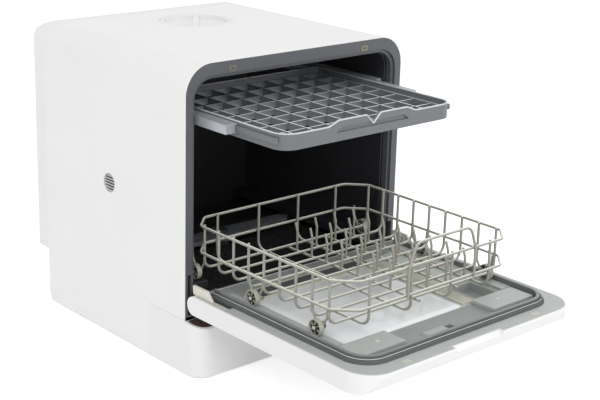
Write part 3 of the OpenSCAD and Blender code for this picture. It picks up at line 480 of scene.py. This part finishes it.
# a profile of (radius, along) points turned about X, or about Z when upright, in millimetres
def turnProfile(bm, centre, profile, steps, upright=False, closed=True, material=0):
    rings = []
    for k in range(steps):
        c, s = math.cos(2 * math.pi * k / steps), math.sin(2 * math.pi * k / steps)
        spots = [(q * c, q * s, u) if upright else (u, q * c, q * s) for q, u in profile]
        rings.append([bm.verts.new((Vector(centre) + Vector(spot)) * mm) for spot in spots])
    m = len(profile)
    for k in range(steps):
        p, q = rings[k], rings[(k + 1) % steps]
        for j in range(m if closed else m - 1):
            n = (j + 1) % m
            bm.faces.new((p[j], p[n], q[n], q[j])).material_index = material
    return rings


def meshFrom(bm, name, angle=meshSettings["sharp"]):
    bmesh.ops.recalc_face_normals(bm, faces=bm.faces)
    mesh = bpy.data.meshes.new(name)
    bm.to_mesh(mesh)
    bm.free()
    smoothFaces(mesh, angle)
    return mesh


# lower rack: coated wire, bent as the real one is
rackSettings = {
    "wire": 2.0,
    "cornerCut": 28,
    "railBend": 13,
    "midRail": 174,
    "lowWire": 150,
    "wireBend": 14,
    "crossCount": 9,
    "crossInset": 4,
    "longWires": (-118.5, -39.5, 39.5, 118.5),
    "tineRods": (0, 79),
    "rodStart": 8,
    "rodEnd": 4,
    "tineRows": (0, 39.5, 79, 118.5),
    "tineHeight": 44,
    "tineLean": 5,
    "tineKnee": 14,
    "tineBend": 10,
    "tineWire": 0.92,
    "handleFoot": 66,
    "handleTop": 54,
    "handleRise": 34,
    "handleShift": 12,
    "handleBends": (0, 30, 16, 16, 30, 0),
}


def addRack(s):
    low, high = (Vector(v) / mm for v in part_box("rack_rails"))
    r = s["wire"]
    x, y0, y1, top = high.x - r, low.y + r, high.y - r, high.z - r
    c = s["cornerCut"]
    rails = []
    for z in (s["midRail"], top):
        corners = [(x - c, y1, z), (-x + c, y1, z), (-x, y1 - c, z), (-x, y0 + c, z),
                   (-x + c, y0, z), (x - c, y0, z), (x, y0 + c, z), (x, y1 - c, z)]
        rails.append((rounded(corners, s["railBend"], closed=True), True))
    bendWire("rackRails", rails, r, "wireCoat", "rack_rails")

    inner = x - 2 * r
    first = y0 + c + s["crossInset"]
    pitch = (y1 - y0 - 2 * (c + s["crossInset"])) / (s["crossCount"] - 1)
    cross = []
    for i in range(s["crossCount"]):
        y = first + i * pitch
        hoop = [(-inner, y, top + r), (-inner, y, s["lowWire"]),
                (inner, y, s["lowWire"]), (inner, y, top + r)]
        cross.append((rounded(hoop, s["wireBend"]), False))
    bendWire("rackCrossWires", cross, r, "wireCoat", "rack_cross_wires")

    rodZ = s["lowWire"] - 2 * r
    long = []
    for lx in s["longWires"]:
        hoop = [(lx, y0 + 2 * r, top + r), (lx, y0 + 2 * r, rodZ),
                (lx, y1 - 2 * r, rodZ), (lx, y1 - 2 * r, top + r)]
        long.append((rounded(hoop, s["wireBend"]), False))
    for tx in s["tineRods"]:
        long.append(([(tx, first - s["rodStart"], rodZ), (tx, y1 - c + s["rodEnd"], rodZ)], False))
    bendWire("rackLongWires", long, r, "wireCoat", "rack_long_wires")

    knee, tip = rodZ + s["tineHeight"] - s["tineKnee"], rodZ + s["tineHeight"]
    rods = []
    for tx in s["tineRows"]:
        for i in range(s["crossCount"] - 1):
            y = first + (i + 0.5) * pitch
            tine = [(tx, y, rodZ), (tx, y, knee), (tx, y + s["tineLean"], tip)]
            rods.append((rounded(tine, s["tineBend"]), False))
    bendWire("rackTines", rods, r * s["tineWire"], "wireCoat", "rack_tines")

    y = y0 - 2 * r
    shift, foot, head = s["handleShift"], s["handleFoot"], s["handleTop"]
    base, peak = s["midRail"] - r, top + s["handleRise"]
    arch = [(shift - foot, y, base), (shift - foot, y, top), (shift - head, y, peak),
            (shift + head, y, peak), (shift + foot, y, top), (shift + foot, y, base)]
    bendWire("rackHandle", [(rounded(arch, s["handleBends"]), False)], r, "wireCoat", "rack_handle")


addRack(rackSettings)
print("lower rack bent")


# rack wheels: pale tyre and spokes, dark hub and web
wheelSettings = {
    "tyre": 1.8,
    "crown": 0.5,
    "shoulder": 0.9,
    "bulge": 0.1,
    "lip": 0.5,
    "hub": 4.2,
    "hubWall": 1.3,
    "hubEdge": 0.4,
    "web": 0.8,
    "webSink": (0.2, 0.1),  # into the hub and into the tyre
    "spokes": 6,
    "spokeWidth": 1.0,
    "spokeFoot": 1.25,  # times the width, at the hub
    "spokeHead": 0.8,
    "spokeInset": 1,
    "spokeSink": (0.3, 0.2),
    "steps": 40,
    "edge": 0.25,
}
wheelPlaces = [(side, place) for side in ("left", "right") for place in ("front", "middle", "rear")]


def addWheel(node, name, s):
    low, high = (Vector(v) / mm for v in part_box(node))
    centre, radius, half = (low + high) / 2, (high.z - low.z) / 2, (high.x - low.x) / 2
    inner = radius - s["tyre"]
    crown, shoulder, bulge, lip = s["crown"], s["shoulder"], s["bulge"], s["lip"]
    tyre = [(radius - crown, -half), (radius - bulge, -half + shoulder), (radius, 0),
            (radius - bulge, half - shoulder), (radius - crown, half), (inner + lip, half),
            (inner, half - lip), (inner - 2 * bulge, 0), (inner, -half + lip), (inner + lip, -half)]
    r, edge, bore, web = s["hub"], s["hubEdge"], s["hub"] - s["hubWall"], s["web"]
    hub = [(r - edge, -half), (r, -half + edge), (r, half - edge),
           (r - edge, half), (bore, half), (bore, -half)]
    foot, head = r - s["webSink"][0], inner + s["webSink"][1]
    disc = [(head, -web), (head, web), (foot, web), (foot, -web)]
    bm = bmesh.new()
    for profile, material in ((tyre, 0), (hub, 1), (disc, 1)):
        turnProfile(bm, centre, profile, s["steps"], material=material)
    w, reach = s["spokeWidth"] / 2, half - s["spokeInset"]
    foot, head = r - s["spokeSink"][0], inner + s["spokeSink"][1]
    for k in range(s["spokes"]):
        turn = Matrix.Rotation(2 * math.pi * k / s["spokes"], 3, "X")
        vs = []
        for u in (-reach, reach):
            for v in (-w, w):
                for z, wide in ((foot, s["spokeFoot"]), (head, s["spokeHead"])):
                    vs.append(bm.verts.new((centre + turn @ Vector((u, v * wide, z))) * mm))
        for f in ((0, 1, 3, 2), (4, 6, 7, 5), (0, 4, 5, 1), (2, 3, 7, 6), (0, 2, 6, 4), (1, 5, 7, 3)):
            bm.faces.new([vs[i] for i in f])
    piece = addPiece(name, meshFrom(bm, name), ["wheelGrey", "wheelDark"], node)
    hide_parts(node)
    softenEdges(piece, s["edge"])


# wire loops that hang the wheels under the middle rail
hangerSettings = {
    "wire": 1.7,
    "inset": 3.6,
    "reach": 15,
    "drawIn": 1,
    "knee": 16,
    "kneeBend": 9,
    "eye": 4.5,
    "eyeLift": 1,
    "eyeBend": 3,
}


def wheelMiddle(side, place):
    low, high = (Vector(v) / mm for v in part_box(f"wheel_{side}_{place}"))
    return (low + high) / 2, (high.x - low.x) / 2


def addHangers(s):
    top = rackSettings["midRail"]
    reach, eye = s["reach"], s["eye"]
    bends = [0, s["kneeBend"], s["eyeBend"], s["eyeBend"], s["eyeBend"], s["kneeBend"], 0]
    loops = []
    for side, place in wheelPlaces:
        centre, half = wheelMiddle(side, place)
        sign = -1 if side == "left" else 1
        x, y, z = centre.x - sign * (half + s["inset"] - s["wire"]), centre.y, centre.z
        knee, low = reach - s["drawIn"], z + s["eyeLift"]
        loop = [(x, y - reach, top), (x, y - knee, z + s["knee"]), (x, y - eye, low), (x, y, z - eye),
                (x, y + eye, low), (x, y + knee, z + s["knee"]), (x, y + reach, top)]
        loops.append((rounded(loop, bends), False))
    bendWire("wheelHangers", loops, s["wire"], "wireCoat", "rack_axles")


# axles through the hangers, each with a low head outside its wheel
axleSettings = {
    "radius": 2.4,
    "stub": 2,
    "frontStub": 7,
    "proud": 1.3,
    "headDepth": 0.9,
    "headFoot": 2.7,
    "headRim": 2.8,
    "rimDepth": 0.2,
    "headFace": 1.7,
    "steps": 20,
}


def addAxles(s):
    bm = bmesh.new()
    for side, place in wheelPlaces:
        centre, half = wheelMiddle(side, place)
        sign = -1 if side == "left" else 1
        stub = s["frontStub"] if place == "front" else s["stub"]
        start = centre.x - sign * (half + hangerSettings["inset"] - hangerSettings["wire"] + stub)
        end = centre.x + sign * (half + s["proud"])
        seat, rim = end - sign * s["headDepth"], end - sign * s["rimDepth"]
        profile = [(s["radius"], start), (s["radius"], seat), (s["headFoot"], seat),
                   (s["headRim"], rim), (s["headFace"], end)]
        rings = turnProfile(bm, (0, centre.y, centre.z), profile, s["steps"], closed=False)
        bm.faces.new([ring[0] for ring in rings])
        bm.faces.new([ring[-1] for ring in reversed(rings)])
    addPiece("wheelAxles", meshFrom(bm, "wheelAxles"), "catchPale", "rack_axles")


addHangers(hangerSettings)
addAxles(axleSettings)
for side, place in wheelPlaces:
    addWheel(f"wheel_{side}_{place}", "wheel" + side.capitalize() + place.capitalize(), wheelSettings)
print("wheels, hangers and axles made:", len(wheelPlaces))


# door seal: two lips on a foot, swept round three sides of the rim; points are (outwards, up)
sealSettings = {
    "corner": 37.6,
    "edge": 3.4,
    "foot": [(3.4, 0), (3.4, 1.0), (2.9, 1.7), (0.9, 2.0), (0.5, 2.8), (0.1, 3.9),
             (-0.5, 4.4), (-0.9, 4.5), (-1.0, 5.0), (-0.3, 5.6)],
    "lip": [(-0.4, -0.3), (-1.2, 0), (-2.8, 0), (-3.2, -0.4)],  # up is from the seal's top
    "inside": -3.3,
    # the narrow face that carries the painted highlight line
    "paintedGlintFaces": (9,),
    "cornerSteps": 14,
    "sharp": 40,
}


def addSeal(s):
    low, high = (Vector(v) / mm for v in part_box("door_gasket"))
    x, y0, y1, up = high.x - s["edge"], low.y + s["edge"], high.y, low.z
    corners = [(-x, y1, up), (-x, y0, up), (x, y0, up), (x, y1, up)]
    line = rounded(corners, s["corner"], steps=s["cornerSteps"])
    section = s["foot"] + [(u, high.z - low.z + w) for u, w in s["lip"]] + [(s["inside"], 0)]
    bm = bmesh.new()
    sweepSection(bm, line, section, s["paintedGlintFaces"])
    mesh = meshFrom(bm, "doorSeal", s["sharp"])
    piece = addPiece("doorSeal", mesh, ["gasketGrey", "sealPaintedGlint"], "door_gasket")
    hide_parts("door_gasket")


addSeal(sealSettings)
print("door seal swept")


# side vent: a turned ring, level slats with sloping faces and a dark disc behind them, painted shade inside
# the vent
ventSettings = {
    "ring": 1.5,
    "proud": 0.2,
    "outerEdge": 0.3,
    "innerEdge": 0.4,
    "slats": 6,
    "pitch": 4.4,
    "slat": 2.3,
    "slatInset": 0.3,
    "slope": 1.1,
    "thin": 0.8,
    "depth": 4.4,
    "slatDepth": 3.4,
    "steps": 48,
    "edge": 0.2,
}


def addVent(s):
    low, high = (Vector(v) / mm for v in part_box("vent_grille"))
    x0, x1, mid, r = low.x, high.x, (low + high) / 2, (high.z - low.z) / 2
    centre, inner = (0, mid.y, mid.z), r - s["ring"]
    face = x0 - s["proud"]
    ring = [(r, x0), (r - s["outerEdge"], face), (inner + s["innerEdge"], face),
            (inner, x0 + s["innerEdge"]), (inner, x1), (r, x1)]
    bm = bmesh.new()
    turnProfile(bm, centre, ring, s["steps"])
    h, back = s["slat"] / 2, s["slatDepth"]
    section = [(s["slatInset"], h), (s["slatInset"], -h),
               (back, -h - s["slope"]), (back, h - s["slope"] - s["thin"])]
    for i in range(s["slats"]):
        z = (i - (s["slats"] - 1) / 2) * s["pitch"]
        reach = math.sqrt((inner + s["slatInset"]) ** 2 - (abs(z) + h) ** 2)
        ends = []
        for y in (mid.y - reach, mid.y + reach):
            ends.append([bm.verts.new(Vector((x0 + u, y, mid.z + z + v)) * mm) for u, v in section])
        for j in range(4):
            k = (j + 1) % 4
            bm.faces.new((ends[0][j], ends[0][k], ends[1][k], ends[1][j]))
        bm.faces.new(ends[0])
        bm.faces.new(list(reversed(ends[1])))
    # a dark disc behind the slats: painted shade inside the vent
    paintedShadeDisc = []
    for k in range(s["steps"]):
        a = 2 * math.pi * k / s["steps"]
        spot = Vector((x0 + s["depth"], mid.y + inner * math.cos(a), mid.z + inner * math.sin(a)))
        paintedShadeDisc.append(bm.verts.new(spot * mm))
    bm.faces.new(paintedShadeDisc).material_index = 1
    piece = addPiece("ventGrille", meshFrom(bm, "ventGrille"), ["ventGrey", "ventPaintedShade"], "vent_grille")
    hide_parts("vent_grille")
    softenEdges(piece, s["edge"])


addVent(ventSettings)
print("side vent made")


# tray: a round bead on the wall's top edge, which rises at the front and dips in a notch at its middle;
# its pale colour is a painted highlight on the rim
trayBeadSettings = {
    "bead": 1.3,
    "inset": 1.1,
    "runner": 4,  # how far the runners stand out of the sides
    "corner": 23,
    "backCorner": 4,
    "rise": 7,
    "riseStart": 84,
    "riseEnd": 66,
    "notch": 14,
    "dip": 14,
    "frontBends": [10, 10, 3, 2, 3, 10, 10],
}


def addTrayBead(s):
    low, high = (Vector(v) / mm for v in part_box("tray_frame"))
    x = min(-low.x, high.x) - s["runner"] - s["inset"]
    y0, y1 = low.y + s["inset"], high.y - s["inset"]
    up, top = high.z, high.z - s["rise"]
    front = [(-s["riseStart"], top), (-s["riseEnd"], up), (-s["notch"], up), (0, up - s["dip"]),
             (s["notch"], up), (s["riseEnd"], up), (s["riseStart"], top)]
    line = [(-x, y1, top), (-x, y0, top)] + [(fx, y0, z) for fx, z in front] + [(x, y0, top), (x, y1, top)]
    bends = [s["backCorner"], s["corner"]] + s["frontBends"] + [s["corner"], s["backCorner"]]
    loop = rounded(line, bends, closed=True)
    bendWire("trayBead", [(loop, True)], s["bead"], "beadGrey", "tray_frame", whole=False)


addTrayBead(trayBeadSettings)
print("tray bead laid")


# door window: a pale plate with a shallow sloping border; border points are (inwards, up)
windowSettings = {
    "frontCorner": 8,
    "backCorner": 14,
    "border": [(0, 0), (0, 0.5), (0.5, 0.9), (5, 2.4), (6.5, 2.9)],
    "cornerSteps": 8,
    "sharp": 20,
}


def addWindow(s):
    low, high = (Vector(v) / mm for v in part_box("door_window"))
    radii = [s["frontCorner"]] * 2 + [s["backCorner"]] * 2
    bm = bmesh.new()
    rings = []
    for inset, rise in s["border"]:
        z = low.z + rise
        x0, y0, x1, y1 = low.x + inset, low.y + inset, high.x - inset, high.y - inset
        corners = [(x0, y0, z), (x1, y0, z), (x1, y1, z), (x0, y1, z)]
        line = rounded(corners, [max(r - inset, 1) for r in radii], closed=True, steps=s["cornerSteps"])
        rings.append([bm.verts.new(p * mm) for p in line])
    n = len(rings[0])
    for a, b in zip(rings, rings[1:]):
        for k in range(n):
            bm.faces.new((a[k], a[(k + 1) % n], b[(k + 1) % n], b[k]))
    bm.faces.new(rings[-1])
    bm.faces.new(list(reversed(rings[0])))
    piece = addPiece("doorWindow", meshFrom(bm, "doorWindow", s["sharp"]), "windowPale", "door_window")
    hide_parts("door_window")


addWindow(windowSettings)
print("door window made")


# door liner: a deeper grey inside the rim and a pale pan round the window
linerSettings = {"edge": 0.6, "inset": 2.5, "corner": 22, "panDrop": 11, "ledgeGap": 2}


def addLiner(s):
    low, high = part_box("door_rim")
    x, y0, c = high[0] - s["inset"] * mm, low[1] + s["inset"] * mm, s["corner"] * mm
    panTop = high[2] - s["panDrop"] * mm
    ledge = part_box("door_window")[0][1] - s["ledgeGap"] * mm
    bm = joinedFaces("door_liner")
    cuts = (((x, 0, 0), (1, 0, 0)), ((-x, 0, 0), (1, 0, 0)), ((0, y0, 0), (0, 1, 0)),
            ((x - c, y0, 0), (1, -1, 0)), ((c - x, y0, 0), (1, 1, 0)), ((0, ledge, 0), (0, 1, 0)))
    for place, across in cuts:
        geometry = bm.verts[:] + bm.edges[:] + bm.faces[:]
        bmesh.ops.bisect_plane(bm, geom=geometry, plane_co=place, plane_no=across)
    for face in bm.faces:
        p = face.calc_center_median()
        inside = abs(p.x) < x and p.y > y0 and (abs(p.x) - (x - c)) - (p.y - y0) < 0
        pan = p.z < panTop and p.y > ledge
        face.material_index = 0 if not inside else 2 if pan else 1
    dressSolid("door_liner", bm, "doorLiner", ["plateGrey", "panGrey", "panPale"], s["edge"])


addLiner(linerSettings)
print("door liner toned")


# a low block with sloping sides on the liner; box is (x0, y0, x1, y1), foot is measured from the window's top
def addRib(bm, box, s):
    x0, y0, x1, y1 = box
    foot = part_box("door_window")[1][2] / mm + s["foot"]
    head, t = foot + s["rise"], s["taper"]
    corners = ((x0, y0), (x1, y0), (x1, y1), (x0, y1))
    inner = ((x0 + t, y0 + t), (x1 - t, y0 + t), (x1 - t, y1 - t), (x0 + t, y1 - t))
    low = [bm.verts.new(Vector((x, y, foot)) * mm) for x, y in corners]
    high = [bm.verts.new(Vector((x, y, head)) * mm) for x, y in inner]
    bm.faces.new(low)
    bm.faces.new(high)
    for k in range(4):
        bm.faces.new((low[k], low[(k + 1) % 4], high[(k + 1) % 4], high[k]))


# pale strips to the right of the window, nearly as long as it is
stripSettings = {"at": (79, 84, 89, 94, 99), "wide": 2.6, "front": 2, "foot": -2.1, "rise": 1.7, "taper": 0.5}


def addStrips(s):
    low, high = (Vector(v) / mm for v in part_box("door_window"))
    half = s["wide"] / 2
    bm = bmesh.new()
    for x in s["at"]:
        addRib(bm, (x - half, low.y + s["front"], x + half, high.y), s)
    addPiece("linerRibs", meshFrom(bm, "linerRibs"), "stripPale", "door_liner")


# shallow dark pocket behind the window, and the dark end of the slot in the ledge
pocketSettings = {"box": (-132, -80, 84, -53), "foot": -2, "rise": 2.25, "taper": 1}
slotEndSettings = {"box": (-4, -323.5, 11.6, -306.5), "foot": -4, "rise": 0.5, "taper": 0.1}


def addPocket():
    bm = bmesh.new()
    for s in (pocketSettings, slotEndSettings):
        addRib(bm, s["box"], s)
    addPiece("linerPocket", meshFrom(bm, "linerPocket"), "pocketDark", "door_liner")


# raised lip round the pocket, and a row of ticks by each hinge
lipSettings = {"wide": 2, "gap": 1.2, "foot": -2, "rise": 3, "taper": 0.5}
tickSettings = {
    "inner": 198.8,
    "outer": 206,
    "start": -84,
    "pitch": 5.2,
    "count": 6,
    "wide": 2.4,
    "foot": -0.5,
    "rise": 0.6,
    "taper": 0.25,
}


def addLip(s, ticks):
    x0, y0, x1, y1 = pocketSettings["box"]
    w, gap = s["wide"], s["gap"]
    bm = bmesh.new()
    for y in (y0 - w - gap, y1 + gap):
        addRib(bm, (x0 - w, y, x1 + w, y + w), s)
    for x in (x0 - w, x1):
        addRib(bm, (x, y0 - w - gap, x + w, y1 + w + gap), s)
    for a, b in ((-ticks["outer"], -ticks["inner"]), (ticks["inner"], ticks["outer"])):
        for k in range(ticks["count"]):
            y = ticks["start"] + k * ticks["pitch"]
            addRib(bm, (a, y, b, y + ticks["wide"]), ticks)
    addPiece("pocketLip", meshFrom(bm, "pocketLip"), "stripBeige", "door_liner")


# tongue in the ledge
tongueSettings = {"box": (-46, -322.5, -5, -307.5), "foot": -3.7, "rise": 3.4, "taper": 0.8}


def addTongue(s):
    bm = bmesh.new()
    addRib(bm, s["box"], s)
    addPiece("ledgeTongue", meshFrom(bm, "ledgeTongue"), "plateGrey", "door_liner")


# dark straps by the hinges, standing for the hinge arms; their dark colour is painted shade
strapSettings = {"box": (191.3, -86, 197.8, -48), "foot": -0.5, "rise": 0.6, "taper": 0.3}


def addStraps(s):
    x0, y0, x1, y1 = s["box"]
    bm = bmesh.new()
    for a, b in ((x0, x1), (-x1, -x0)):
        addRib(bm, (a, y0, b, y1), s)
    addPiece("hingeStrapsPaintedShade", meshFrom(bm, "hingeStrapsPaintedShade"), "darkPlastic", "door_liner")


addStrips(stripSettings)
addPocket()
addLip(lipSettings, tickSettings)
addTongue(tongueSettings)
addStraps(strapSettings)
print("liner mouldings made")


# round rests on the corner blocks; profile points are (radius, up)
restSettings = {
    "places": ((-120, -298), (120, -298)),
    "profile": [(3.2, -0.5), (3.2, 0.3), (2.6, 0.7), (0.8, 0.8)],
    "steps": 24,
}


def addRests(s):
    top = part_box("door_tracks")[1][2] / mm
    bm = bmesh.new()
    for x, y in s["places"]:
        rings = turnProfile(bm, (x, y, top), s["profile"], s["steps"], upright=True, closed=False)
        bm.faces.new([ring[-1] for ring in rings])
        bm.faces.new([ring[0] for ring in rings])
    addPiece("blockRests", meshFrom(bm, "blockRests"), "stripPale", "door_tracks")


addRests(restSettings)
print("corner block rests made")


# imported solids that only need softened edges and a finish: name, finish, edge radius in millimetres
plainPieces = {
    "outer_shell": ("cabinetWrap", "whiteSteel", 0.4),
    "rear_panel": ("cabinetBack", "whiteSteel", 0.4),
    "rear_cover": ("rearCover", "whitePlastic", 0.8),
    "cover_screws": ("coverScrews", "brushedSteel", 0.3),
    "plinth": ("plinthMoulding", "whitePlastic", 1.2),
    "base_pan": ("basePan", "brushedSteel", 0.3),
    "feet": ("footStrips", "rubberBlack", 0.5),
    "control_strip": ("touchStrip", "smokedStrip", 0.6),
    "control_board": ("controlBoard", "boardGreen", 0.2),
    "front_frame": ("frontFrame", "frameGrey", 1.0),
    "latch_plates": ("latchPlates", "latchSteel", 0.15),
    "wash_tub": ("washTub", "tubBlack", 0.8),
    "tub_back": ("tubBack", "tubBlack", 0.4),
    "tub_bottom": ("tubBottom", "tubBlack", 0.4),
    "wheel_tracks": ("wheelTracks", "tubBlack", 0.8),
    "filter_plate": ("filterPlate", "filterBlack", 0.3),
    "sump": ("sumpBowl", "darkPlastic", 0.4),
    "filter_cup": ("filterCup", "darkPlastic", 0.4),
    "spray_post": ("sprayPost", "darkPlastic", 0.5),
    "spray_arm": ("sprayArm", "trayGrey", 1.2),
    "drying_fan": ("dryingFan", "darkPlastic", 0.3),
    "fill_port": ("fillPort", "whitePlastic", 0.6),
    "fill_cap": ("fillCap", "whitePlastic", 0.8),
    "water_tank": ("waterTank", "tankMilky", 0.8),
    "circulation_pump": ("circulationPump", "pumpGrey", 0.8),
    "drain_pump": ("drainPump", "pumpGrey", 0.6),
    "water_heater": ("waterHeater", "brushedSteel", 0.6),
    "supply_pipe": ("supplyPipe", "darkPlastic", 0.4),
    "inlet_spigot": ("inletSpigot", "whitePlastic", 0.4),
    "drain_spigot": ("drainSpigot", "darkPlastic", 0.3),
    "cord_inlet": ("cordInlet", "darkPlastic", 0.4),
    "hinge_brackets": ("hingeBrackets", "brushedSteel", 0.4),
    "hinge_pins": ("hingePins", "brushedSteel", 0.4),
    "door_shell": ("doorShell", "whitePlastic", 1.2),
    "door_rim": ("doorRim", "rimGrey", 0.8),
    "door_tracks": ("doorTracks", "plateGrey", 0.8),
    "detergent_cup": ("detergentCup", "linerGrey", 0.5),
    "hinge_cheeks": ("hingeCheeks", "cheekBeige", 0.6),
    "door_catches": ("doorCatches", "catchPale", 0.15),
    "tray_frame": ("trayFrame", "trayGrey", 0.8),
    "tray_grid": ("trayGrid", "gridGrey", 0.4),
    "tray_fixed_rails": ("fixedRails", "railGrey", 0.4),
    "tray_middle_rails": ("middleRails", "railGrey", 0.4),
    "rack_sleeves": ("rackSleeves", "darkPlastic", 0.3),
}
for node, (name, finish, edge) in plainPieces.items():
    dressSolid(node, joinedFaces(node), name, finish, edge)
print("packed solids dressed:", len(plainPieces))

bpy.context.scene.view_settings.view_transform = "Standard"
